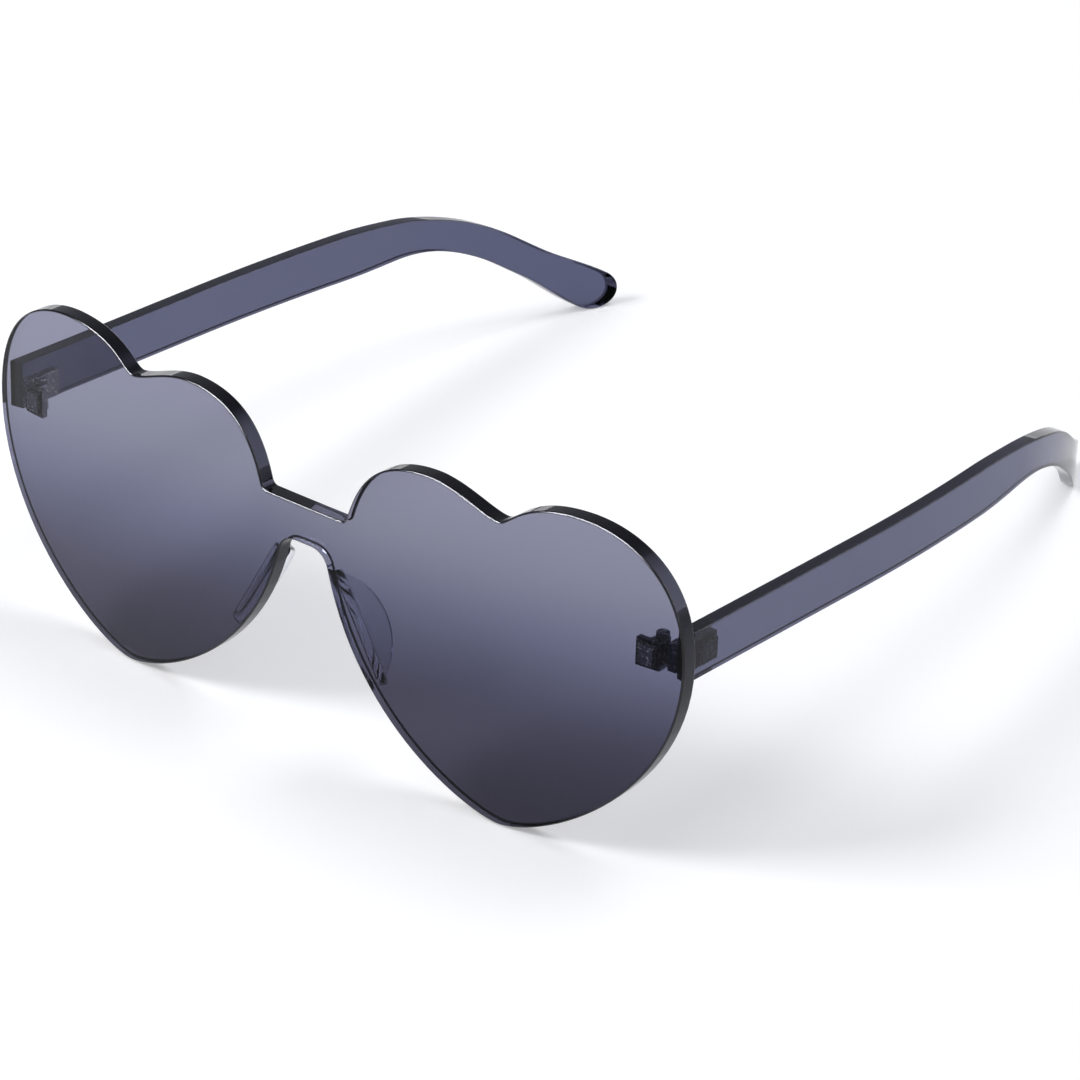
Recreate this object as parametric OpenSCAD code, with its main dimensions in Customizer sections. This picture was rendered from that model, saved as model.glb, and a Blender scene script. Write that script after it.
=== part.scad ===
// Rimless sunglasses with two heart shaped lenses. The front is one moulded, tinted plate:
// both hearts and the bridge, bent to a shallow cylinder. Each temple folds on a three
// knuckle metal hinge whose screw stands upright behind the outer edge of the heart.
// The glasses stand open on the tips of the hearts and the tips of the temples.
// Everything is laid out in the plate's own frame (x across, y backwards, z up, zero at the
// hearts' top) and is then leaned back as one, until the four tips touch the ground.

/* [Front] */
// Width of one heart, from its nose side to its outer edge
lens_w = 69.2; // [60:0.1:78]
// Height of a heart, from the outer lobe's top to the tip
lens_h = 58.7; // [52:0.1:66]
// Least gap between the two hearts, at the top of the nose arch
nose_gap = 9.6; // [7:0.1:14]
// Depth of the bridge bar between the hearts
bridge_h = 6.8; // [4.5:0.1:8.5]
// Drop from the hearts' top to the bridge's upper edge
bridge_drop = 15.5; // [13:0.1:18]
// Size of the blends at the bridge's two upper corners
bridge_blend = 0.9; // [0.4:0.1:1.5]
// Size of the rounder blends at the nose arch's two corners
arch_blend = 3; // [1:0.1:3.5]
// Thickness of the moulded plate
front_t = 3; // [2.4:0.1:3.8]
// Radius of the cylinder that the plate is bent to
base_r = 558; // [350:1:1200]

/* [Temples] */
// Thickness of a temple, from its inner to its outer face
temple_t = 2.6; // [2.2:0.1:3.4]
// Step from the heart's outer edge in to the temple's outer face
temple_inset = 0.8; // [0.3:0.1:2]
// Drop from the hearts' top to the temple's middle line at the hinge
temple_drop = 19.4; // [16:0.1:24]
// Height of the temple where it meets the heart
hinge_end_h = 8.5; // [7.5:0.1:11]
// Height of the temple at its deepest, before the bend
shank_h = 8.7; // [7.5:0.1:12]
// Height of the temple at its neck, in the bend over the ear
neck_h = 6.1; // [5:0.1:8]
// Height of the rounded temple tip
tip_h = 8; // [6:0.1:11]
// Length of the straight shank, from the plate's back to the bend
shank_len = 91.5; // [80:0.5:105]
// Radius of the bend over the ear
bend_r = 46; // [30:1:70]
// Angle of the bend over the ear
bend_angle = 32.5; // [24:0.5:42]
// Length of the drop behind the ear, to the middle of the rounded tip
drop_len = 19.2; // [14:0.1:30]
// Downward slope of the shank against the plate's square
shank_slope = 0.7; // [0:0.1:3]
// Length that runs straight back before the temple starts to curve inwards
straight_len = 44; // [30:1:60]
// Length of the gentle inward curve
sweep_len = 48; // [20:1:60]
// Radius of the gentle inward curve
sweep_r = 400; // [300:10:1200]
// Radius of the tighter inward curve round the head
wrap_r = 102; // [90:1:200]
// Gap between the plate's back and the temple's front end, at its outer edge
butt_gap = 0.25; // [0.1:0.05:0.4]
// Step by which the front end's inner edge lies further back than its outer edge
end_step = 0.5; // [0:0.1:1]

/* [Hinges] */
// Height of the hinge's stack of three knuckles
hinge_h = 4.9; // [4.2:0.1:6.5]
// Drop from the temple's middle line to the middle of the hinge
hinge_sink = 0.85; // [0:0.05:1.2]
// Outer radius of a knuckle
knuckle_r = 1.25; // [1:0.05:1.4]
// Radius of the hinge screw
screw_r = 0.6; // [0.5:0.05:0.75]
// Running clearance between the screw and each knuckle, on the radius
screw_clear = 0.04; // [0.02:0.01:0.08]
// Gap above and below the temple's knuckle
knuckle_gap = 0.1; // [0.05:0.01:0.2]
// Distance from the screw's axis to the temple's inner face
pin_inset = 3.45; // [3.2:0.05:4.2]
// Distance from the plate's back to the screw's axis
pin_back = 2.3; // [2.3:0.05:3.2]
// Thickness of the leaf on the plate's back
leaf_t = 0.8; // [0.5:0.05:0.85]
// Width of the leaf on the plate's back
front_leaf_w = 4.35; // [3.6:0.05:6]
// Thickness of the leaf on the temple
temple_leaf_t = 1.6; // [1:0.05:1.7]
// How far the leaf on the temple reaches in front of the screw's axis
leaf_lead = 1; // [0.5:0.1:1.2]
// How far the leaf on the temple reaches behind the screw's axis
temple_leaf_len = 6.2; // [5:0.1:10]
// Depth of the anchor that is sunk into the plastic
anchor_depth = 1.5; // [0.8:0.1:1.8]
// Radius of the screw's head
head_r = 1.1; // [0.9:0.05:1.3]
// Height of the screw's head
head_h = 0.9; // [0.5:0.05:1.2]
// Width of the slot in the screw's head
slot_w = 0.35; // [0.2:0.05:0.5]
// Depth of the slot in the screw's head
slot_depth = 0.4; // [0.2:0.05:0.45]

/* [Nose pads] */
// Radius of the round edge of a nose pad
pad_r = 11.5; // [10:0.1:13]
// How far a nose pad stands out behind the plate
pad_reach = 5.7; // [5:0.1:7]
// Thickness of a nose pad
pad_t = 1.6; // [1.2:0.1:2.4]
// Angle by which a pad opens outwards, away from the nose
pad_flare = 6; // [4:1:25]
// Drop from the hearts' top to the upper end of a pad
pad_drop = 26; // [24.5:0.1:29]
// Step from the heart's nose side in to the face of the pad
pad_step = 0.2; // [0.1:0.1:1]

/* [Hidden] */

// Tints of the plastic and of the metal
tint = [0.36, 0.36, 0.46, 0.72];
steel = [0.55, 0.55, 0.58];

// Each row is a point of the heart with the handle that leads into it and the one that leads
// out of it: the share of the width outwards from the nose side, the share of the height down
heart_shares = [
    [[0.06, 0.26], [0, 0], [0.03, -0.12]],
    [[0.30, 0.03], [-0.15, 0], [0.08, 0]],
    [[0.50, 0.09], [-0.04, 0], [0.03, 0]],
    [[0.72, 0], [-0.16, 0], [0.13, 0]],
    [[1, 0.35], [0, -0.26], [0, 0.41]],
    [[0.52, 1], [0.12, 0], [-0.08, 0]],
    [[0, 0.40], [0.09, 0.46], [0, 0]]];
tip_row = 5;
// Steps in each stretch of the heart, in a blend and in the temple's runs and ends
heart_steps = 20;
blend_steps = 6;
run_steps = 8;
end_steps = 14;
sweep_steps = 6;
wrap_steps = 18;
plate_fn = 720;
round_fn = 48;
disc_fn = 96;
// Where along the shank the temple is deepest, and where in the drop it starts to widen
deep_share = 0.86;
neck_share = 0.3;
// Overrun of every cut and bonding gap under bonded pieces
over = 1;
bond = 0.02;
// Seat of the temple's leaf
leaf_seat = 0.03;
// Margins of the sunk anchors inside the outline of their leaf
anchor_margin = 0.7;

front_w = 2 * lens_w + nose_gap;
back_r = base_r - front_t;
outer_x = front_w / 2 - temple_inset;
inner_x = outer_x - temple_t;

// Depth of the plate's front face and of its back face at a distance from the middle
function front_y(x) = base_r - sqrt(base_r * base_r - x * x);
function back_y(x) = base_r - sqrt(back_r * back_r - x * x);
plate_depth = back_y(front_w / 2);

// Closed outline of the right heart
function on_heart(p) = [nose_gap / 2 + p[0] * lens_w, -p[1] * lens_h];
function bezier(a, b, c, d, t) =
    pow(1 - t, 3) * a + 3 * pow(1 - t, 2) * t * b + 3 * (1 - t) * t * t * c + t * t * t * d;
heart_rows = len(heart_shares);
heart_pts = [
    for (i = [0:heart_rows - 2]) for (j = [0:heart_steps - 1])
        let (p = heart_shares[i], q = heart_shares[i + 1])
        on_heart(bezier(p[0], p[0] + p[2], q[0] + q[1], q[0], j / heart_steps)),
    on_heart(heart_shares[heart_rows - 1][0])];
heart_n = len(heart_pts);

// Place of the heart's nose side at a height
function side_x(z) = [
    for (i = [0:heart_n - 1])
        let (p = heart_pts[i], q = heart_pts[(i + 1) % heart_n])
        if (max(p[0], q[0]) < front_w / 4 && p[1] != q[1] && (p[1] - z) * (q[1] - z) <= 0)
            p[0] + (q[0] - p[0]) * (z - p[1]) / (q[1] - p[1])][0];

// Outline of the whole front: the bridge bar runs into both hearts with blended corners
bridge_top = -bridge_drop;
arch_top = bridge_top - bridge_h;
blend_top = bridge_top + bridge_blend;
blend_low = arch_top - arch_blend;
// The arch's corner lies where the heart's nose side would meet the arch if it ran on straight
arch_x = side_x(blend_low) + arch_blend * (side_x(blend_low) - side_x(blend_low - 1));
arch_run = min(arch_blend, 0.8 * arch_x);
function corner(a, b, c) = [
    for (j = [0:blend_steps])
        let (t = j / blend_steps) pow(1 - t, 2) * a + 2 * (1 - t) * t * b + t * t * c];
half_pts = concat(
    corner([side_x(bridge_top) - bridge_blend, bridge_top], [side_x(bridge_top), bridge_top],
           [side_x(blend_top), blend_top]),
    [for (p = heart_pts) if (p[0] > front_w / 4 || p[1] > blend_top || p[1] < blend_low) p],
    corner([side_x(blend_low), blend_low], [arch_x, arch_top], [arch_x - arch_run, arch_top]));
front_pts = concat(
    half_pts,
    [for (i = [len(half_pts) - 1:-1:0]) [-half_pts[i][0], half_pts[i][1]]]);

// Middle line of the temple seen from the side, measured along it from the plate's back
temple_y = back_y(outer_x);
temple_z = -temple_drop;
bend_len = bend_r * bend_angle * PI / 180;
drop_angle = shank_slope + bend_angle;
line_len = shank_len + bend_len + drop_len;
bend_y = shank_len * cos(shank_slope);
bend_z = -shank_len * sin(shank_slope);
drop_y = bend_y + bend_r * (sin(drop_angle) - sin(shank_slope));
drop_z = bend_z + bend_r * (cos(drop_angle) - cos(shank_slope));
function line_angle(s) =
    shank_slope + bend_angle * min(1, max(0, (s - shank_len) / bend_len));
function line_at(s) =
    s <= shank_len ? [temple_y + s * cos(shank_slope), temple_z - s * sin(shank_slope)] :
    s <= shank_len + bend_len ?
        [temple_y + bend_y + bend_r * (sin(line_angle(s)) - sin(shank_slope)),
         temple_z + bend_z + bend_r * (cos(line_angle(s)) - cos(shank_slope))] :
        [temple_y + drop_y + (s - shank_len - bend_len) * cos(drop_angle),
         temple_z + drop_z - (s - shank_len - bend_len) * sin(drop_angle)];

// Height of the temple along that line, blended between its named heights
function blend(a, b, s, t, u) =
    a + (b - a) * (1 - cos(180 * min(1, max(0, (u - s) / (t - s))))) / 2;
deep_at = deep_share * shank_len;
neck_at = shank_len + bend_len / 2;
widen_at = shank_len + bend_len + neck_share * drop_len;
function line_h(s) =
    s < deep_at ? blend(hinge_end_h, shank_h, 0, deep_at, s) :
    s < widen_at ? blend(shank_h, neck_h, deep_at, neck_at, s) :
    blend(neck_h, tip_h, widen_at, line_len, s);

// Side view of the temple, from in front of its seat to the rounded tip
line_stops = concat(
    [-temple_y],
    [for (i = [0:run_steps]) shank_len * i / run_steps],
    [for (i = [1:run_steps]) shank_len + bend_len * i / run_steps],
    [for (i = [1:run_steps]) shank_len + bend_len + drop_len * i / run_steps]);
function edge_at(s, side) =
    line_at(s) + side * line_h(s) / 2 * [sin(line_angle(s)), cos(line_angle(s))];
tip_at = line_at(line_len);
temple_profile = concat(
    [for (s = line_stops) edge_at(s, 1)],
    [for (i = [1:end_steps - 1])
        let (a = drop_angle + 180 * i / end_steps)
        tip_at + tip_h / 2 * [sin(a), cos(a)]],
    [for (i = [len(line_stops) - 1:-1:0]) edge_at(line_stops[i], -1)]);

// Plan view of the temple: straight, then two curves inwards, the second round the head
sweep_y = temple_y + straight_len;
sweep_angle = sweep_len / sweep_r * 180 / PI;
wrap_angle = (line_len - straight_len - sweep_len + tip_h) / wrap_r * 180 / PI;
wrap_x = outer_x - sweep_r * (1 - cos(sweep_angle));
wrap_y = sweep_y + sweep_r * sin(sweep_angle);
end_y = temple_y + butt_gap;
function wrap_at(a, inset) =
    [wrap_x - wrap_r * (cos(sweep_angle) - cos(a)) - inset * cos(a),
     wrap_y + wrap_r * (sin(a) - sin(sweep_angle)) - inset * sin(a)];
function plan_edge(inset) = concat(
    [[outer_x - inset, end_y + end_step * inset / temple_t]],
    [for (i = [0:sweep_steps])
        let (a = sweep_angle * i / sweep_steps)
        [outer_x - sweep_r * (1 - cos(a)) - inset * cos(a), sweep_y + (sweep_r - inset) * sin(a)]],
    [for (i = [1:wrap_steps]) wrap_at(sweep_angle + wrap_angle * i / wrap_steps, inset)]);
plan_out = plan_edge(0);
plan_in = plan_edge(temple_t);
plan_n = len(plan_in);
temple_plan = concat(plan_out, [for (i = [plan_n - 1:-1:0]) plan_in[i]]);

// Hinge: the screw's axis and the levels of the three knuckles
pin_x = inner_x - pin_inset;
pin_y = back_y(pin_x) + pin_back;
hinge_z = temple_z - hinge_sink;
hinge_low = hinge_z - hinge_h / 2;
knuckle_h = (hinge_h - 2 * knuckle_gap) / 3;

// Lean of the whole object that brings the hearts' tips and the temples' tips to the ground
foot_x = nose_gap / 2 + heart_shares[tip_row][0][0] * lens_w;
foot_y = back_y(foot_x);
reach_y = tip_at[0] - foot_y;
reach_z = -lens_h - tip_at[1];
lean = asin(-tip_h / 2 / norm([reach_y, reach_z])) - atan2(reach_z, reach_y);
lift = foot_y * sin(lean) + lens_h * cos(lean);
low_y = min([for (p = heart_pts) front_y(p[0]) * cos(lean) + p[1] * sin(lean)]);
high_y = tip_at[0] * cos(lean) + tip_at[1] * sin(lean) + tip_h / 2;

module stand() {
    translate([0, -(low_y + high_y) / 2, lift]) rotate([-lean, 0, 0]) children();
}

module left_side() {
    mirror([1, 0, 0]) children();
}

// Upright round bar about the axis of the plate's bend
module bend_bar(r) {
    translate([0, base_r, -2 * lens_h]) cylinder(r = r, h = 3 * lens_h, $fn = plate_fn);
}

// Keeps only what lies behind the plate, clear of its back by a gap
module behind_plate(gap) {
    intersection() {
        children();
        bend_bar(back_r - gap);
    }
}

module plate_prism() {
    translate([0, plate_depth + over, 0]) rotate([90, 0, 0])
        linear_extrude(height = plate_depth + 2 * over) polygon(front_pts);
}

module upright(x, y, z, r, h) {
    translate([x, y, z]) cylinder(r = r, h = h, $fn = round_fn);
}

module block(low, high) {
    translate(low) cube(high - low);
}

// Anchor of the leaf on the plate, grown by a gap for its pocket
module front_anchor(gap) {
    block([pin_x + knuckle_r - front_leaf_w + anchor_margin - gap,
           pin_y - pin_back - anchor_depth - gap, hinge_low + anchor_margin - gap],
          [pin_x + knuckle_r - anchor_margin + gap,
           pin_y - pin_back + leaf_t / 2, hinge_low + hinge_h - anchor_margin + gap]);
}

// Anchor of the leaf on the temple, grown by a gap for its pocket
module temple_anchor(gap) {
    block([inner_x - temple_leaf_t / 2, pin_y + knuckle_r + anchor_margin - gap,
           hinge_low + anchor_margin - gap],
          [inner_x + anchor_depth + gap, pin_y + temple_leaf_len - anchor_margin + gap,
           hinge_low + hinge_h - anchor_margin + gap]);
}

module front() {
    color(tint) stand() difference() {
        intersection() {
            plate_prism();
            difference() {
                bend_bar(base_r);
                bend_bar(back_r);
            }
        }
        front_anchor(bond);
        left_side() front_anchor(bond);
    }
}

// Nose pad: a part of a round disc on the plate's back, along the heart's nose side
pad_half = sqrt(pad_r * pad_r - pow(pad_r - pad_reach, 2));
pad_top = -pad_drop;
pad_low = pad_top - 2 * pad_half;
pad_tilt = atan2(side_x(pad_low) - side_x(pad_top), pad_top - pad_low);
pad_mid_z = pad_top - pad_half * cos(pad_tilt);
pad_end_z = pad_top - 2 * pad_half * cos(pad_tilt);
pad_mid_x = (side_x(pad_top) + side_x(pad_end_z)) / 2 + pad_step;

module nose_pad() {
    behind_plate(bond)
        translate([pad_mid_x, back_y(pad_mid_x), pad_mid_z])
            rotate([0, -pad_tilt, 0]) rotate([0, 0, -pad_flare])
                translate([0, pad_reach - pad_r, 0]) rotate([0, 90, 0])
                    cylinder(r = pad_r, h = pad_t, $fn = disc_fn);
}

// Leaf bonded to the plate's back, with the upper and the lower knuckle
module front_hinge() {
    difference() {
        union() {
            behind_plate(bond)
                block([pin_x + knuckle_r - front_leaf_w, 0, hinge_low],
                      [pin_x + knuckle_r, pin_y - pin_back + leaf_t, hinge_low + hinge_h]);
            for (z = [hinge_low, hinge_low + 2 * (knuckle_h + knuckle_gap)]) {
                behind_plate(bond)
                    block([pin_x - knuckle_r, 0, z], [pin_x + knuckle_r, pin_y, z + knuckle_h]);
                upright(pin_x, pin_y, z, knuckle_r, knuckle_h);
            }
            front_anchor(0);
        }
        upright(pin_x, pin_y, hinge_low - over, screw_r + screw_clear, hinge_h + 2 * over);
    }
}

// Leaf on the temple's inner face, with the middle knuckle
module temple_hinge() {
    z = hinge_low + knuckle_h + knuckle_gap;
    leaf_x = inner_x - leaf_seat;
    difference() {
        union() {
            upright(pin_x, pin_y, z, knuckle_r, knuckle_h);
            block([pin_x, pin_y, z], [leaf_x, pin_y + knuckle_r, z + knuckle_h]);
            block([leaf_x - temple_leaf_t, pin_y - leaf_lead, hinge_low],
                  [leaf_x, pin_y + temple_leaf_len, hinge_low + hinge_h]);
            temple_anchor(0);
        }
        upright(pin_x, pin_y, z - over, screw_r + screw_clear, knuckle_h + 2 * over);
    }
}

module hinge_screw() {
    top = hinge_low + hinge_h;
    difference() {
        union() {
            upright(pin_x, pin_y, hinge_low, screw_r, hinge_h);
            upright(pin_x, pin_y, top, head_r, head_h);
        }
        block([pin_x - slot_w / 2, pin_y - head_r - over, top + head_h - slot_depth],
              [pin_x + slot_w / 2, pin_y + head_r + over, top + head_h + over]);
    }
}

module temple() {
    difference() {
        intersection() {
            rotate([90, 0, 90]) linear_extrude(height = front_w / 2) polygon(temple_profile);
            translate([0, 0, -2 * lens_h]) linear_extrude(height = 3 * lens_h) polygon(temple_plan);
        }
        temple_anchor(bond);
    }
}

module nose_pad_left() { color(tint) stand() left_side() nose_pad(); }
module nose_pad_right() { color(tint) stand() nose_pad(); }
module front_hinge_left() { color(steel) stand() left_side() front_hinge(); }
module front_hinge_right() { color(steel) stand() front_hinge(); }
module temple_hinge_left() { color(steel) stand() left_side() temple_hinge(); }
module temple_hinge_right() { color(steel) stand() temple_hinge(); }
module hinge_screw_left() { color(steel) stand() left_side() hinge_screw(); }
module hinge_screw_right() { color(steel) stand() hinge_screw(); }
module temple_left() { color(tint) stand() left_side() temple(); }
module temple_right() { color(tint) stand() temple(); }

front();
nose_pad_left();
nose_pad_right();
front_hinge_left();
front_hinge_right();
temple_hinge_left();
temple_hinge_right();
hinge_screw_left();
hinge_screw_right();
temple_left();
temple_right();
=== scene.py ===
import math

import bmesh
import bpy
from mathutils import Matrix, Vector


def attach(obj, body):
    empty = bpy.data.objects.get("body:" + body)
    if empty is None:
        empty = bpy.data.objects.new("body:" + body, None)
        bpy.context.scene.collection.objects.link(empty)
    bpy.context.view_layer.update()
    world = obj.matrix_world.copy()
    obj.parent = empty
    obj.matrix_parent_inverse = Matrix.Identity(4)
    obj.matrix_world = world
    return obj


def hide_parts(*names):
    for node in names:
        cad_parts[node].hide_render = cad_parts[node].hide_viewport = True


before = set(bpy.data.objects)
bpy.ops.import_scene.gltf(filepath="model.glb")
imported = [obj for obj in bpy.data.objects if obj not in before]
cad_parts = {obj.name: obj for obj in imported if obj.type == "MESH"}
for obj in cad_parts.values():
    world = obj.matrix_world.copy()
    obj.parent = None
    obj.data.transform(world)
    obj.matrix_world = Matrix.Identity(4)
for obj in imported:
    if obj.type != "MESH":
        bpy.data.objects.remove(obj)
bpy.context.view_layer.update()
scene = bpy.context.scene
scene.view_settings.view_transform = "Standard"

# Camera: a long lens from the front right and above, a little turned about its own axis.
# It looks at a point on the right heart, so the glasses just fill the frame.
aim = Vector((0.049017, -0.066919, 0.054253))
azimuth, elevation, roll = math.radians(41.526), math.radians(31.951), math.radians(-3.176)
camera_distance = 0.707835
towards_camera = Vector((math.sin(azimuth) * math.cos(elevation),
                         -math.cos(azimuth) * math.cos(elevation), math.sin(elevation)))
camera = bpy.data.objects.new("camera", bpy.data.cameras.new("camera"))
scene.collection.objects.link(camera)
camera.data.sensor_width = 36
camera.data.lens = 154.34
camera.data.clip_end = 20
camera.location = aim + towards_camera * camera_distance
turn = (-towards_camera).to_track_quat("-Z", "Y").to_matrix() @ Matrix.Rotation(roll, 3, "Z")
camera.rotation_mode = "QUATERNION"
camera.rotation_quaternion = turn.to_quaternion()
scene.camera = camera

# Studio: a white table under a tent that is brightest overhead and to the front, and dark at the
# back left. Two lamps cast the soft crossed shadows. The camera sees table and backdrop as white.
table_half, paper_white = 3, 0.8
near_glow, far_glow, glow_start, glow_end = 0.3, 1.0, 0.35, 1.0


def fill(tree, socket, value):
    if isinstance(value, bpy.types.NodeSocket):
        tree.links.new(value, socket)
    else:
        socket.default_value = value


def add(tree, kind, *inputs, **values):
    """Adds a node. Inputs are filled in their order, and values by name with _ for a space, each
    with a number, a colour or another node's output. Any other name is a setting of the node."""
    made = tree.nodes.new(kind)
    for key, value in values.items():
        socket = made.inputs.get(key.replace("_", " "))
        if socket is None:
            setattr(made, key, value)
        else:
            fill(tree, socket, value)
    for socket, value in zip(made.inputs, inputs):
        fill(tree, socket, value)
    return made


def result_of(tree, operation, *values):
    return add(tree, "ShaderNodeMath", *values, operation=operation).outputs[0]


def mapped(tree, value, start, end, low, high, way="LINEAR"):
    """Turns a value that runs from start to end into one that runs from low to high."""
    return add(tree, "ShaderNodeMapRange", value, start, end, low, high,
               interpolation_type=way).outputs[0]


def rays(tree, *kinds):
    """1 for a ray of one of these kinds, and 0 for all others."""
    path = add(tree, "ShaderNodeLightPath")
    seen = path.outputs["Is " + kinds[0] + " Ray"]
    for kind in kinds[1:]:
        seen = result_of(tree, "MAXIMUM", seen, path.outputs["Is " + kind + " Ray"])
    return seen


def new_material(name):
    made = bpy.data.materials.new(name)
    made.use_nodes = True
    made.node_tree.nodes.clear()
    return made, made.node_tree


def new_piece(name, mesh_maker, *finishes):
    mesh = bpy.data.meshes.new(name)
    mesh_maker.to_mesh(mesh)
    mesh_maker.free()
    for face in mesh.polygons:
        face.use_smooth = True
    for finish in finishes:
        mesh.materials.append(finish)
    piece = bpy.data.objects.new(name, mesh)
    scene.collection.objects.link(piece)
    return piece


paper, tree = new_material("white_paper")
spot = add(tree, "ShaderNodeTexCoord").outputs["Object"]
reach = add(tree, "ShaderNodeVectorMath", spot, operation="LENGTH").outputs["Value"]
glow_level = mapped(tree, reach, glow_start, glow_end, near_glow, far_glow, "SMOOTHSTEP")
shown_glow = result_of(tree, "MULTIPLY", rays(tree, "Camera", "Glossy", "Transmission"), glow_level)
lit = add(tree, "ShaderNodeBsdfDiffuse", Color=(paper_white, paper_white, paper_white, 1))
glow = add(tree, "ShaderNodeEmission", Color=(1, 1, 1, 1), Strength=shown_glow)
both = add(tree, "ShaderNodeAddShader", lit.outputs[0], glow.outputs[0])
add(tree, "ShaderNodeOutputMaterial", Surface=both.outputs[0])
table_made = bmesh.new()
bmesh.ops.create_grid(table_made, x_segments=1, y_segments=1, size=table_half)
table_top = new_piece("table_top", table_made, paper)

tent = bpy.data.worlds.new("light_tent")
scene.world = tent
tent.use_nodes = True
tree = tent.node_tree
tree.nodes.clear()
way_out = add(tree, "ShaderNodeTexCoord").outputs["Generated"]


def bright_side(towards, start, end, low, high):
    """Strength of one side of the tent, which swells softly towards its middle. Start and end are
    cosines of the angle from the middle, where the light begins to swell and where it is full."""
    middle = Vector(towards).normalized()
    off = add(tree, "ShaderNodeVectorMath", way_out, middle, operation="DOT_PRODUCT")
    return mapped(tree, off.outputs["Value"], start, end, low, high, "SMOOTHSTEP")


# Two soft panels are there only for their image: one greys the walls on the right, and the other
# draws the light line along the polished front edges.
cloth_light = bright_side((0.45, -0.45, 0.77), 0.1, 0.6, 0.08, 0.5)
right_panel = bright_side((0.76, 0.64, 0.10), 0.6, 1.0, 0.3, 3.6)
front_panel = bright_side((-0.22, -0.70, 0.68), 0.78, 0.95, 0.0, 34.0)
panels = result_of(tree, "ADD", right_panel, front_panel)
tent_light = result_of(tree, "MULTIPLY_ADD", rays(tree, "Glossy"), panels, cloth_light)
cloth = add(tree, "ShaderNodeBackground", Color=(0.88, 0.90, 1, 1), Strength=tent_light)
backdrop = add(tree, "ShaderNodeBackground", Color=(1, 1, 1, 1), Strength=1)
choice = add(tree, "ShaderNodeMixShader", rays(tree, "Camera", "Transmission"),
             cloth.outputs[0], backdrop.outputs[0])
add(tree, "ShaderNodeOutputWorld", Surface=choice.outputs[0])

for name, size, watts, place in (("key", 0.4, 6.5, (-0.55, -0.6, 0.8)),
                                 ("back_lamp", 0.5, 3.5, (0.2, 0.38, 0.98))):
    lamp = bpy.data.objects.new(name, bpy.data.lights.new(name, "AREA"))
    lamp.data.shape = "SQUARE"
    lamp.data.size = size
    lamp.data.energy = watts
    lamp.location = place
    lamp.rotation_mode = "QUATERNION"
    lamp.rotation_quaternion = (-lamp.location).to_track_quat("-Z", "Y")
    lamp.visible_glossy = name != "back_lamp"
    scene.collection.objects.link(lamp)

# Front: both hearts and the bridge, moulded as one 3 mm plate of clear tinted plastic and bent
# to a shallow cylinder. Its rim is polished and lightly rounded, and its tint, dyed in from the
# surface, darkens towards the foot. It is drawn flat, hearts' tops at z = 0, and then stood up.
lens_w, lens_h, nose_gap, front_t, base_r = 0.0692, 0.0587, 0.0096, 0.003, 0.558
bridge_drop, bridge_h, bridge_blend, arch_blend = 0.0155, 0.0068, 0.0009, 0.003
front_half = lens_w + nose_gap / 2
bridge_top, arch_top = -bridge_drop, -bridge_drop - bridge_h
bridge_corner_x, bridge_end_x, bridge_handle, arch_handle = 0.00884, 0.00917, 0.002, 0.0004
corner_pull, kept_handle_share = 2 / 3, 0.9
lean, shift_y, lift_z = math.radians(6.78915), -0.0663751, 0.0588204
stand = Matrix.Translation((0, shift_y, lift_z)) @ Matrix.Rotation(-lean, 4, "X")
rim_round, strip_w, sharp_angle = 0.0003, 0.002, math.radians(50)
curve_steps, search_steps = 28, 500
same_place, on_plane = 1e-6, 1e-7

# The right heart from the bridge over both lobes and the tip to the nose side: each point and its
# handles before and after it, as shares of the heart's width and height.
heart_shares = [
    ((0.06, 0.26), (0, 0), (0.03, -0.12)),
    ((0.30, 0.03), (-0.15, 0), (0.08, 0)),
    ((0.50, 0.09), (-0.04, 0), (0.03, 0)),
    ((0.72, 0), (-0.16, 0), (0.13, 0)),
    ((1, 0.35), (0, -0.26), (0, 0.41)),
    ((0.52, 1), (0.12, 0), (-0.08, 0)),
    ((0, 0.40), (0.09, 0.46), (0, 0))]


def front_y(x):
    """The plate's front face, which bulges towards the camera."""
    return base_r - math.sqrt(base_r ** 2 - x ** 2)


def back_y(x):
    return base_r - math.sqrt((base_r - front_t) ** 2 - x ** 2)


def heart_knot(at, before, after):
    place = Vector((nose_gap / 2 + at[0] * lens_w, -at[1] * lens_h))
    return (place, place + Vector((before[0] * lens_w, -before[1] * lens_h)),
            place + Vector((after[0] * lens_w, -after[1] * lens_h)))


right_knots = [heart_knot(*row) for row in heart_shares]

# The bridge's upper corner is blended into the inner lobe.
first = right_knots[0]
top_corner = Vector((bridge_corner_x, bridge_top))
top_out = Vector((bridge_end_x, bridge_top + bridge_blend))
top_in = top_corner - Vector((bridge_blend, 0))
right_knots[0] = (top_out, top_out.lerp(top_corner, corner_pull),
                  first[2] + (top_out - first[0]) * kept_handle_share)
right_knots.insert(0, (top_in, top_in - Vector((bridge_handle, 0)),
                       top_in.lerp(top_corner, corner_pull)))
nose_side = (right_knots[-2][0], right_knots[-2][2], right_knots[-1][1], right_knots[-1][0])


def part_way(t):
    """The handles and the end of the heart's nose side, when it is cut off part way up."""
    ab, bc, cd = (p.lerp(q, t) for p, q in zip(nose_side, nose_side[1:]))
    return ab, ab.lerp(bc, t), ab.lerp(bc, t).lerp(bc.lerp(cd, t), t)


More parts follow.
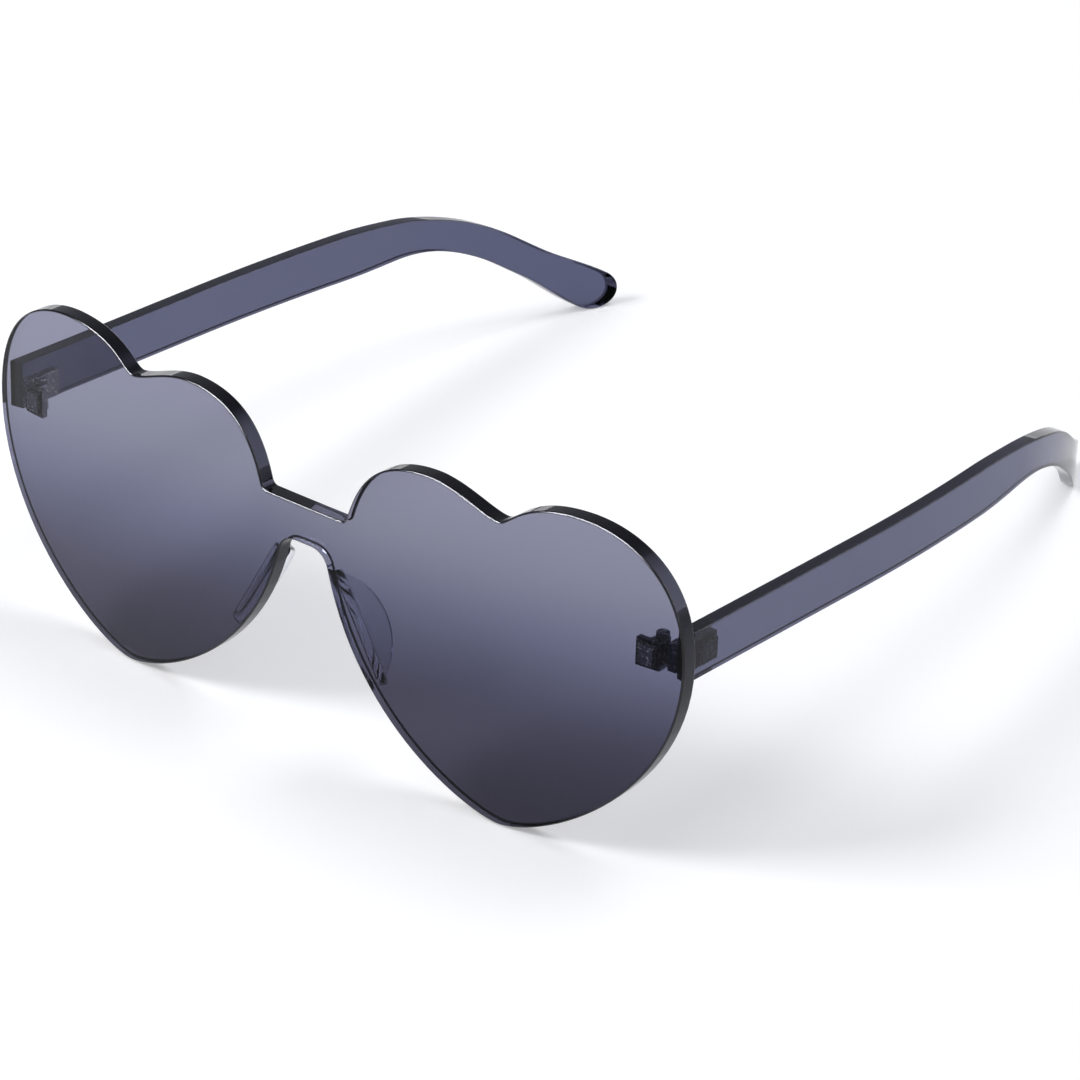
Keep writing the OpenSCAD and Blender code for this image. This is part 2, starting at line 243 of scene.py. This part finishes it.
# The nose side ends just below the arch, and a round blend leads into the arch.
arch_share = next(i / search_steps for i in range(search_steps)
                  if part_way(i / search_steps)[2].y > arch_top - arch_blend)
leaving, arriving, low_out = part_way(arch_share)
upwards = (low_out - arriving).normalized()
low_corner = low_out + upwards * (arch_top - low_out.y) / upwards.y
low_in = low_corner - Vector((arch_blend, 0))
right_knots[-2] = (*right_knots[-2][:2], leaving)
right_knots[-1] = (low_out, arriving, low_out.lerp(low_corner, corner_pull))
right_knots.append((low_in, low_in.lerp(low_corner, corner_pull), low_in - Vector((arch_handle, 0))))
left_knots = [tuple(Vector((-p.x, p.y)) for p in (at, after, before))
              for at, before, after in reversed(right_knots)]


def flat_outline(name, knots):
    """One upright face inside a closed curve through knots of point, handle before and after."""
    curve = bpy.data.curves.new(name, "CURVE")
    curve.dimensions = "2D"
    curve.fill_mode = "NONE"
    curve.resolution_u = curve_steps
    spline = curve.splines.new("BEZIER")
    spline.bezier_points.add(len(knots) - 1)
    for point, (at, before, after) in zip(spline.bezier_points, knots):
        point.handle_left_type = point.handle_right_type = "FREE"
        point.co = (at[0], at[1], 0)
        point.handle_left = (before[0], before[1], 0)
        point.handle_right = (after[0], after[1], 0)
    spline.use_cyclic_u = True
    drawn = bpy.data.objects.new(name, curve)
    made = bmesh.new()
    made.from_mesh(drawn.to_mesh())
    drawn.to_mesh_clear()
    bpy.data.objects.remove(drawn)
    bpy.data.curves.remove(curve)
    bmesh.ops.remove_doubles(made, verts=made.verts, dist=same_place)
    bmesh.ops.rotate(made, verts=made.verts, matrix=Matrix.Rotation(math.pi / 2, 3, "X"))
    bmesh.ops.contextual_create(made, geom=made.edges[:])
    return made


def thicken(made, by):
    wall = bmesh.ops.extrude_face_region(made, geom=made.faces[:])["geom"]
    bmesh.ops.translate(made, verts=[v for v in wall if isinstance(v, bmesh.types.BMVert)], vec=by)
    bmesh.ops.recalc_face_normals(made, faces=made.faces[:])


def sharp_edges(made):
    return [e for e in made.edges if len(e.link_faces) == 2 and e.calc_face_angle() > sharp_angle]


def round_off(made, edges, width, segments, clamp=False):
    bmesh.ops.bevel(made, geom=edges, offset=width, segments=segments, profile=0.5,
                    affect="EDGES", material=-1, clamp_overlap=clamp)


def cut_through(made, place, away, clear=False):
    """Cuts the mesh along a plane, and gives the edges of the cut. Clear drops the side away."""
    cut = bmesh.ops.bisect_plane(made, geom=made.verts[:] + made.edges[:] + made.faces[:],
                                 plane_co=place, plane_no=away, dist=on_plane, clear_outer=clear)
    return [g for g in cut["geom_cut"] if isinstance(g, bmesh.types.BMEdge)]


def slice_across(made, axis, low, high, step):
    """Cuts the mesh into strips across an axis, so that it can be bent."""
    count = int((high - low) / step)
    for i in range(1, count):
        cut_through(made, axis * (low + (high - low) * i / count), axis)


def mark_finishes(made, axis, least, most):
    """Finish 0 is for the faces that look along the axis, 2 for the walls between them, and 1 for
    the rounded edges where they meet."""
    made.normal_update()
    for face in made.faces:
        along = abs(face.normal[axis])
        face.material_index = 0 if along > least else 2 if along < most else 1


def even_shading(piece):
    shade = piece.modifiers.new("even_shading", "WEIGHTED_NORMAL")
    shade.mode = "FACE_AREA"
    shade.weight = 100


# The dye from the foot to the top, what each surface reflects of white, and the share of the
# dye's colour that is left at the polished edge and on the wall, which paints shade on them.
lens_dye = ((0.10, (0.055, 0.053, 0.080)), (0.30, (0.078, 0.076, 0.120)),
            (0.45, (0.116, 0.122, 0.192)), (0.60, (0.180, 0.186, 0.284)),
            (0.75, (0.246, 0.254, 0.322)), (1.00, (0.280, 0.284, 0.380)))
face_mirror, edge_mirror, wall_mirror = (0.02, 0.02, 0.02), (0.7, 0.7, 0.7), (0.34, 0.35, 0.52)
edge_shade_share, wall_shade_share = 0.25, 0.6
# The slant paints shade across each heart, darker towards +x, about a pivot of its own that is blended
# across the bridge.
painted_shade_slant, shade_pivot_x, bridge_reach = 0.12, 0.024, 0.01


def tinted(name, tint_and_shade_stops, shade_share, mirror, shade_slant=0):
    """Clear plastic, dyed from its surface. The stops are heights and colours; on the temple walls the
    dark upper stops are painted shade. The share dims them on this surface as painted shade. Mirror
    is the colour of what the surface reflects of white. The slant paints shade across each heart:
    darker towards +x of its pivot and clearer on the other side."""
    made, tree = new_material(name)
    place = add(tree, "ShaderNodeTexCoord").outputs["Object"]
    parts = add(tree, "ShaderNodeSeparateXYZ", place)
    # Painted shade: the slant lowers the level, and so darkens the tint, towards +x in each heart.
    shade_pivot = mapped(tree, parts.outputs["X"], -bridge_reach, bridge_reach, -shade_slant * shade_pivot_x, shade_slant * shade_pivot_x)
    slanted = result_of(tree, "MULTIPLY_ADD", parts.outputs["X"], -shade_slant, parts.outputs["Z"])
    level = result_of(tree, "ADD", slanted, shade_pivot)
    fade = add(tree, "ShaderNodeValToRGB", mapped(tree, level, 0, lift_z, 0, 1))
    fade.color_ramp.interpolation = "B_SPLINE"
    ramp = fade.color_ramp.elements
    for stop in tint_and_shade_stops[1:-1]:
        ramp.new(stop[0])
    for element, (at, color) in zip(ramp, tint_and_shade_stops):
        element.position = at
        element.color = (color[0] * shade_share, color[1] * shade_share, color[2] * shade_share, 1)
    clear = add(tree, "ShaderNodeBsdfPrincipled", Base_Color=fade.outputs[0], IOR=1.49, Roughness=0.02,
                Transmission_Weight=1, Specular_Tint=(*mirror, 1))
    inside = add(tree, "ShaderNodeVolumeAbsorption", Color=(0.5, 0.5, 0.6, 1), Density=50)
    add(tree, "ShaderNodeOutputMaterial", Surface=clear.outputs[0], Volume=inside.outputs[0])
    return made


plate_made = flat_outline("front_outline", right_knots + left_knots)
thicken(plate_made, (0, front_t, 0))
round_off(plate_made, sharp_edges(plate_made), rim_round, 4)
mark_finishes(plate_made, 1, 0.99, 0.1)
slice_across(plate_made, Vector((1, 0, 0)), -front_half, front_half, strip_w)
for v in plate_made.verts:
    v.co.y = front_y(v.co.x) + v.co.y * (back_y(v.co.x) - front_y(v.co.x)) / front_t
bmesh.ops.transform(plate_made, matrix=stand, verts=plate_made.verts[:])
bmesh.ops.recalc_face_normals(plate_made, faces=plate_made.faces[:])
# The rim and wall finishes are the face's material dimmed as painted shade, and all three carry the slanted
# painted shade.
front_plate = new_piece("front_plate", plate_made,
                        tinted("lens_face", lens_dye, 1, face_mirror, painted_shade_slant),
                        tinted("lens_rim_painted_shade", lens_dye, edge_shade_share, edge_mirror, painted_shade_slant),
                        tinted("lens_wall_painted_shade", lens_dye, wall_shade_share, wall_mirror, painted_shade_slant))
even_shading(front_plate)
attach(front_plate, "front_body")
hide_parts("front")

# Temples: a 2.6 mm strip of the same plastic, cut to its side shape and curved inwards round
# the head. It drops behind the ear to a rounded tip, and its edges are lightly rounded.
temple_t, outer_x, butt_gap, end_step = 0.0026, 0.0732, 0.00025, 0.0005
temple_drop, shank_slope, bend_angle = 0.0194, math.radians(0.7), math.radians(32.5)
shank_len, bend_r, drop_len, end_spare = 0.0915, 0.046, 0.0192, 0.004
hinge_end_h, shank_h, neck_h, tip_h = 0.0085, 0.0087, 0.0061, 0.008
straight_len, sweep_len, sweep_r, wrap_r = 0.044, 0.048, 0.400, 0.102
deep_share, widen_share = 0.86, 0.3
temple_round, line_steps, tip_steps = 0.0003, 90, 24
temple_y = back_y(outer_x)
bend_len = bend_r * bend_angle
line_len = shank_len + bend_len + drop_len


def part_of(s, start, length):
    """How far along a stretch the place s is, from 0 at its start to 1 at its end."""
    return min(1, max(0, (s - start) / length))


def eased(a, b, start, end, s):
    """A height that goes softly from a at the start to b at the end of a stretch."""
    return a + (b - a) * (1 - math.cos(math.pi * part_of(s, start, end - start))) / 2


def line_angle(s):
    return shank_slope + bend_angle * part_of(s, shank_len, bend_len)


def line_at(s):
    """The temple's middle line, seen from the side: a straight shank, a bend and a straight drop."""
    a = line_angle(s)
    y = min(s, shank_len) * math.cos(shank_slope)
    z = -min(s, shank_len) * math.sin(shank_slope)
    y += bend_r * (math.sin(a) - math.sin(shank_slope))
    z += bend_r * (math.cos(a) - math.cos(shank_slope))
    rest = max(0, s - shank_len - bend_len)
    return Vector((0, temple_y + y + rest * math.cos(a), -temple_drop + z - rest * math.sin(a)))


def half_height(s):
    """The temple is deepest near the end of its shank, narrow at the bend and wide at the tip."""
    deepest, neck = deep_share * shank_len, shank_len + bend_len / 2
    widens = shank_len + bend_len + widen_share * drop_len
    if s < deepest:
        return eased(hinge_end_h, shank_h, 0, deepest, s) / 2
    if s < widens:
        return eased(shank_h, neck_h, deepest, neck, s) / 2
    return eased(neck_h, tip_h, widens, line_len, s) / 2


def upright(s):
    a = line_angle(s)
    return Vector((0, math.sin(a), math.cos(a))) * half_height(s)


def strip_x(y, inset):
    """Seen from above, the strip runs straight back, then sweeps in and wraps round the head."""
    sweep_y = temple_y + straight_len
    sweep_a = sweep_len / sweep_r
    if y < sweep_y:
        return outer_x - inset
    if y < sweep_y + (sweep_r - inset) * math.sin(sweep_a):
        return outer_x - sweep_r + math.sqrt((sweep_r - inset) ** 2 - (y - sweep_y) ** 2)
    mid_x = outer_x - sweep_r + (sweep_r - wrap_r) * math.cos(sweep_a)
    mid_y = sweep_y + (sweep_r - wrap_r) * math.sin(sweep_a)
    return mid_x + math.sqrt((wrap_r - inset) ** 2 - (y - mid_y) ** 2)


def temple_made():
    """An upright edge is pulled along the middle line and half round the tip, and then the flat
    shape gets its thickness, its curve and a hinge end that is cut to clear the plate."""
    made = bmesh.new()
    start = line_at(-end_spare)
    edge = made.edges.new([made.verts.new(start + upright(0)), made.verts.new(start - upright(0))])
    for i in range(line_steps + 1):
        s = line_len * i / line_steps
        pulled = bmesh.ops.extrude_edge_only(made, edges=[edge])["geom"]
        edge = next(g for g in pulled if isinstance(g, bmesh.types.BMEdge))
        high, low = sorted(edge.verts, key=lambda v: -v.co.z)
        high.co = line_at(s) + upright(s)
        low.co = line_at(s) - upright(s)
    centre = line_at(line_len)
    bmesh.ops.subdivide_edges(made, edges=[edge], cuts=1)
    middle = min(made.verts, key=lambda v: (v.co - centre).length)
    upper = max(middle.link_edges, key=lambda e: e.other_vert(middle).co.z)
    bmesh.ops.spin(made, geom=[upper, *upper.verts], cent=centre, axis=(1, 0, 0), dvec=(0, 0, 0),
                   angle=-math.pi, steps=tip_steps, use_merge=False, use_duplicate=False)
    bmesh.ops.remove_doubles(made, verts=made.verts, dist=same_place)
    thicken(made, (temple_t, 0, 0))
    for v in made.verts:
        v.co.x = strip_x(v.co.y, v.co.x)
    hinge_end = cut_through(made, (outer_x, temple_y + butt_gap, 0), (-end_step, -temple_t, 0), True)
    bmesh.ops.contextual_create(made, geom=hinge_end)
    bmesh.ops.recalc_face_normals(made, faces=made.faces[:])
    round_off(made, sharp_edges(made), temple_round, 3)
    mark_finishes(made, 0, 0.8, 0.2)
    return made


def put_on_side(made, side):
    """Mirrors a piece of the right side for the left one, and leans it as the plate leans."""
    if side == "left":
        bmesh.ops.scale(made, verts=made.verts[:], vec=(-1, 1, 1))
    bmesh.ops.transform(made, matrix=stand, verts=made.verts[:])
    bmesh.ops.recalc_face_normals(made, faces=made.faces[:])
    if made.calc_volume(signed=True) < 0:
        bmesh.ops.reverse_faces(made, faces=made.faces[:])
    return made


# The walls of the straight shank get near black painted shade, which clears up towards the tip.
temple_tint, shank_wall_painted_shade = (0.108, 0.114, 0.186), (0.0025, 0.0025, 0.005)
temple_dye = ((0, temple_tint), (1, temple_tint))
temple_side_tint_and_shade = ((0, temple_tint), (0.2, temple_tint), (0.42, shank_wall_painted_shade), (1, shank_wall_painted_shade))
temple_finishes = (tinted("temple_face", temple_dye, 1, face_mirror),
                   tinted("temple_rim", temple_dye, 1, edge_mirror),
                   tinted("temple_wall_painted_shade", temple_side_tint_and_shade, 1, wall_mirror))
for side in ("right", "left"):
    temple = new_piece("temple_arm_" + side, put_on_side(temple_made(), side), *temple_finishes)
    even_shading(temple)
    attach(temple, "temple_" + side + "_body")
    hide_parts("temple_" + side)

# Nose pads: a half moon of clear plastic on each heart's nose side. It grows out of the
# plate's back with a soft foot, opens outwards and has a fully rounded free edge.
pad_r, pad_reach, pad_t, pad_step = 0.0115, 0.0057, 0.0016, 0.0002
pad_flare, pad_drop, pad_sunk, bond = math.radians(6), 0.026, 0.0002, 0.00002
pad_round, pad_curl, foot_reach = 0.0006, 0.0006, 0.0011
blade_share, foot_share = 0.8, 0.7
pad_slice_y, pad_slice_z, pad_segments, side_steps = 0.0004, 0.001, 128, 200
pad_half = math.sqrt(pad_r ** 2 - (pad_r - pad_reach) ** 2)


def side_x(z):
    """Place of the heart's nose side at a height."""
    return min((part_way(i / side_steps)[2] for i in range(side_steps + 1)),
               key=lambda p: abs(p.y - z)).x


pad_tilt = math.atan2(side_x(-pad_drop - 2 * pad_half) - side_x(-pad_drop), 2 * pad_half)
pad_mid_z = -pad_drop - pad_half * math.cos(pad_tilt)
pad_end_z = -pad_drop - 2 * pad_half * math.cos(pad_tilt)
pad_mid_x = (side_x(-pad_drop) + side_x(pad_end_z)) / 2 + pad_step


def nose_pad_made():
    made = bmesh.new()
    bmesh.ops.create_circle(made, cap_ends=True, segments=pad_segments, radius=pad_r)
    bmesh.ops.rotate(made, verts=made.verts, matrix=Matrix.Rotation(math.pi / 2, 3, "Y"))
    bmesh.ops.translate(made, verts=made.verts, vec=(0, pad_reach - pad_r, 0))
    cut_through(made, (0, -pad_sunk, 0), (0, -1, 0), True)
    thicken(made, (pad_t, 0, 0))
    free_edge = [e for e in sharp_edges(made) if max(v.co.y for v in e.verts) > 0]
    round_off(made, free_edge, pad_round, 5)
    slice_across(made, Vector((0, 1, 0)), 0, pad_reach, pad_slice_y)
    slice_across(made, Vector((0, 0, 1)), -pad_half, pad_half, pad_slice_z)
    for v in made.verts:
        out = max(0, v.co.y) / pad_reach
        foot = math.exp(-max(0, v.co.y) / foot_reach)
        v.co.x = v.co.x * (blade_share + foot_share * foot) + pad_curl * out ** 2
    bmesh.ops.rotate(made, verts=made.verts, matrix=Matrix.Rotation(-pad_flare, 3, "Z"))
    bmesh.ops.rotate(made, verts=made.verts, matrix=Matrix.Rotation(-pad_tilt, 3, "Y"))
    bmesh.ops.translate(made, verts=made.verts, vec=(pad_mid_x, back_y(pad_mid_x), pad_mid_z))
    for v in made.verts:
        v.co.y = max(v.co.y, back_y(v.co.x) + bond)
    return made


pad_tint = (0.80, 0.81, 0.86)
pad_plastic = tinted("pad_plastic", ((0, pad_tint), (1, pad_tint)), 1, (0.3, 0.3, 0.3))
for side in ("right", "left"):
    pad = new_piece("bridge_pad_" + side, put_on_side(nose_pad_made(), side), pad_plastic)
    even_shading(pad)
    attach(pad, "front_body")
    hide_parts("nose_pad_" + side)

# Leaves on the plate: each has a knurled anchor sunk into the plastic and carries the upper
# and the lower knuckle of the hinge. All hinge metal is dark plated steel.
hinge_h, hinge_sink, knuckle_r, knuckle_gap = 0.0049, 0.00085, 0.00125, 0.0001
screw_r, screw_clear, leaf_t, front_leaf_w = 0.0006, 0.00004, 0.0008, 0.00435
anchor_margin, anchor_depth, knurl_pitch, knurl_share = 0.0007, 0.0015, 0.0005, 0.3
leaf_root, arm_root, metal_round, round_steps = 0.0016, 0.0012, 0.00012, 48
pin_inset, pin_back = 0.00345, 0.0023
inner_x = outer_x - temple_t
pin_x = inner_x - pin_inset
pin_y = back_y(pin_x) + pin_back
hinge_low = -temple_drop - hinge_sink - hinge_h / 2
hinge_top = hinge_low + hinge_h
knuckle_h = (hinge_h - 2 * knuckle_gap) / 3


def join(made, other):
    """Adds the other mesh to the first one."""
    spare = bpy.data.meshes.new("spare")
    other.to_mesh(spare)
    other.free()
    made.from_mesh(spare)
    bpy.data.meshes.remove(spare)


def box_made(low, high, round_by=metal_round):
    made = bmesh.new()
    bmesh.ops.create_cube(made, size=1)
    low, high = Vector(low), Vector(high)
    bmesh.ops.scale(made, verts=made.verts, vec=high - low)
    bmesh.ops.translate(made, verts=made.verts, vec=(low + high) / 2)
    if round_by:
        round_off(made, made.edges[:], round_by, 2, True)
    return made


def knurled_made(low, high):
    """A block whose skin is cut into small raised points, so that plastic grips it."""
    made = box_made(low, high, 0)
    for i, axis in enumerate((Vector((1, 0, 0)), Vector((0, 1, 0)), Vector((0, 0, 1)))):
        slice_across(made, axis, low[i], high[i], knurl_pitch)
    bmesh.ops.inset_individual(made, faces=made.faces[:], thickness=knurl_pitch * knurl_share,
                               depth=knurl_pitch * knurl_share)
    return made


def knuckle_made(low):
    """A ring about the screw's axis with broken corners."""
    made = bmesh.new()
    inner, outer, chamfer = screw_r + screw_clear, knuckle_r, metal_round
    section = [(inner, 0), (outer - chamfer, 0), (outer, chamfer), (outer, knuckle_h - chamfer),
               (outer - chamfer, knuckle_h), (inner, knuckle_h)]
    corners = [made.verts.new((pin_x + r, pin_y, low + h)) for r, h in section]
    edges = [made.edges.new((a, b)) for a, b in zip(corners, corners[1:] + corners[:1])]
    bmesh.ops.spin(made, geom=corners + edges, cent=(pin_x, pin_y, low), axis=(0, 0, 1),
                   dvec=(0, 0, 0), angle=2 * math.pi, steps=round_steps,
                   use_merge=True, use_duplicate=False)
    bmesh.ops.recalc_face_normals(made, faces=made.faces[:])
    return made


def front_hinge_made():
    left_x, right_x = pin_x + knuckle_r - front_leaf_w, pin_x + knuckle_r
    leaf_back = pin_y - pin_back + leaf_t
    made = box_made((left_x, leaf_back - leaf_root, hinge_low), (right_x, leaf_back, hinge_top))
    for z in (hinge_low, hinge_low + 2 * (knuckle_h + knuckle_gap)):
        join(made, box_made((pin_x - knuckle_r, leaf_back - arm_root, z),
                            (pin_x + knuckle_r, pin_y - screw_r, z + knuckle_h)))
        join(made, knuckle_made(z))
    for v in made.verts:
        v.co.y = max(v.co.y, back_y(v.co.x) + bond)
    anchor_low = (left_x + anchor_margin, pin_y - pin_back - anchor_depth, hinge_low + anchor_margin)
    anchor_high = (right_x - anchor_margin, leaf_back - leaf_t / 2, hinge_top - anchor_margin)
    join(made, knurled_made(anchor_low, anchor_high))
    return made


# Dark plated steel: its noise paints bright specks into the plating as painted glints, and dents it and
# dulls it in places.
steel, tree = new_material("hinge_steel")
steel_place = add(tree, "ShaderNodeTexCoord").outputs["Object"]
grain = add(tree, "ShaderNodeTexNoise", Vector=steel_place, Scale=1800, Detail=3, Roughness=0.6)
plating_and_painted_glints = add(tree, "ShaderNodeValToRGB", grain.outputs["Fac"])
for element, at, color in zip(plating_and_painted_glints.color_ramp.elements, (0.56, 0.66),
                              ((0.16, 0.16, 0.19, 1), (0.70, 0.68, 0.58, 1))):
    element.position = at
    element.color = color
dents = add(tree, "ShaderNodeBump", Strength=0.15, Distance=0.00002, Height=grain.outputs["Fac"])
metal = add(tree, "ShaderNodeBsdfPrincipled", Metallic=1, Base_Color=plating_and_painted_glints.outputs[0],
            Roughness=mapped(tree, grain.outputs["Fac"], 0, 1, 0.22, 0.42), Normal=dents.outputs[0])
add(tree, "ShaderNodeOutputMaterial", Surface=metal.outputs[0])


def finish_metal(made, name, side, body):
    piece = new_piece(name + "_" + side, put_on_side(made, side), steel)
    even_shading(piece)
    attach(piece, body)
    return piece


for side in ("right", "left"):
    leaf = finish_metal(front_hinge_made(), "plate_leaf", side, "front_body")
    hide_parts("front_hinge_" + side)

# Leaves on the temples: a thick bar on the temple's inner face with its own knurled anchor,
# and an arm to the middle knuckle.
temple_leaf_t, leaf_lead, temple_leaf_len, leaf_seat = 0.0016, 0.001, 0.0062, 0.00003


def temple_hinge_made():
    z = hinge_low + knuckle_h + knuckle_gap
    leaf_x = inner_x - leaf_seat
    leaf_end = pin_y + temple_leaf_len
    made = box_made((leaf_x - temple_leaf_t, pin_y - leaf_lead, hinge_low), (leaf_x, leaf_end, hinge_top))
    join(made, box_made((pin_x + screw_r, pin_y, z),
                        (leaf_x - temple_leaf_t / 2, pin_y + knuckle_r, z + knuckle_h)))
    join(made, knuckle_made(z))
    anchor_start = pin_y + knuckle_r + anchor_margin
    anchor_low = (inner_x - temple_leaf_t / 2, anchor_start, hinge_low + anchor_margin)
    anchor_high = (inner_x + anchor_depth, leaf_end - anchor_margin, hinge_top - anchor_margin)
    join(made, knurled_made(anchor_low, anchor_high))
    return made


for side in ("right", "left"):
    leaf = finish_metal(temple_hinge_made(), "temple_leaf", side, "temple_" + side + "_body")
    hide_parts("temple_hinge_" + side)

# Hinge screws: a plain shaft through the three knuckles under a domed, slotted head.
head_r, head_h, head_round, slot_w, slot_depth = 0.0011, 0.0009, 0.0002, 0.00035, 0.0004


def turned_made(radius, low, high, round_by=0):
    """An upright round bar about the screw's axis, whose upper edge may be rounded."""
    made = bmesh.new()
    bmesh.ops.create_cone(made, cap_ends=True, segments=round_steps, radius1=radius,
                          radius2=radius, depth=high - low)
    bmesh.ops.translate(made, verts=made.verts, vec=(pin_x, pin_y, (low + high) / 2))
    if round_by:
        top = [e for e in made.edges if min(v.co.z for v in e.verts) > high - same_place]
        round_off(made, top, round_by, 4, True)
    return made


def screw_made():
    """The head is a disc with two half discs on it, which leave the slot between them."""
    slot_floor = hinge_top + head_h - slot_depth
    made = turned_made(screw_r, hinge_low, hinge_top)
    join(made, turned_made(head_r, hinge_top, slot_floor))
    for way in (1, -1):
        half = turned_made(head_r, slot_floor, hinge_top + head_h, head_round)
        slot_wall = cut_through(half, (pin_x + way * slot_w / 2, pin_y, 0), (-way, 0, 0), True)
        bmesh.ops.contextual_create(half, geom=slot_wall)
        join(made, half)
    return made


for side in ("right", "left"):
    screw = finish_metal(screw_made(), "slotted_screw", side, "front_body")
    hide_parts("hinge_screw_" + side)
